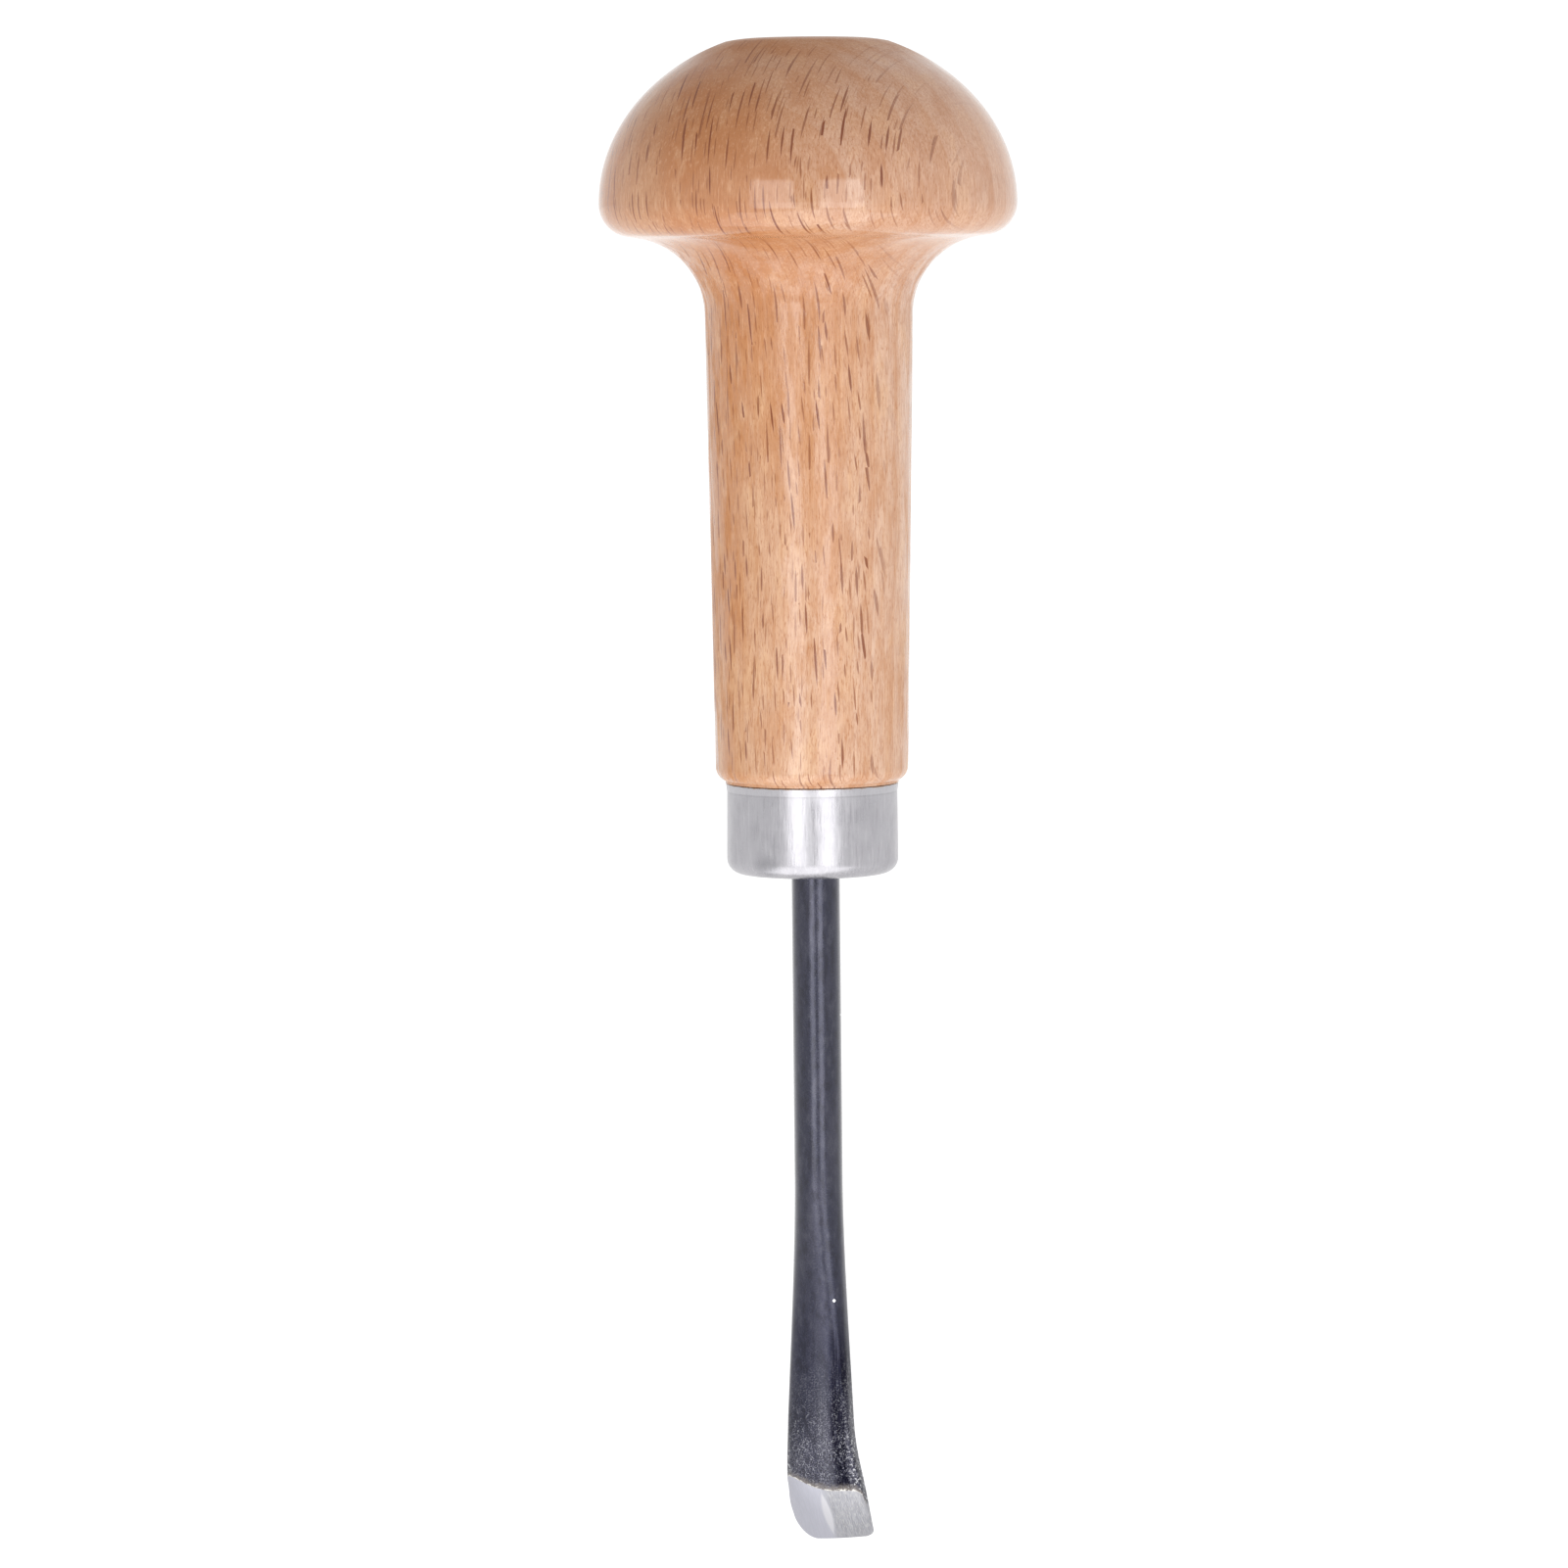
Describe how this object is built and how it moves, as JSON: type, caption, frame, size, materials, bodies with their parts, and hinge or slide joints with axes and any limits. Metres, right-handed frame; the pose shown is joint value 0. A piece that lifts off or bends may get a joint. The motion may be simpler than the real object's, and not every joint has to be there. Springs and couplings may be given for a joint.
{
  "type": "lino cutter",
  "caption": "Palm-handled lino cutter: turned wooden mushroom handle, metal ferrule, and a forged steel blade with a bent, bevelled gouge tip.",
  "frame": {"origin": "centre of the palm flat, on top of the handle's head", "axes": "+Z along the tool's axis out of the palm flat, so the blade points down -Z; +Y is the way the blade's tip bends, so the ground bevel on its back faces -Y"},
  "size_m": [0.038, 0.038, 0.1385],
  "materials": {
    "beech": "clear lacquered, straight grained with short dark flecks",
    "plated_steel": "satin bright plated, drawn",
    "black_steel": "black oxide, with a bright ground bevel",
    "epoxy": "cured amber adhesive"
  },
  "bodies": {
    "root": {"handle": "beech", "ferrule": "plated_steel", "blade": "black_steel", "tang_adhesive": "epoxy"}
  },
  "joints": []
}
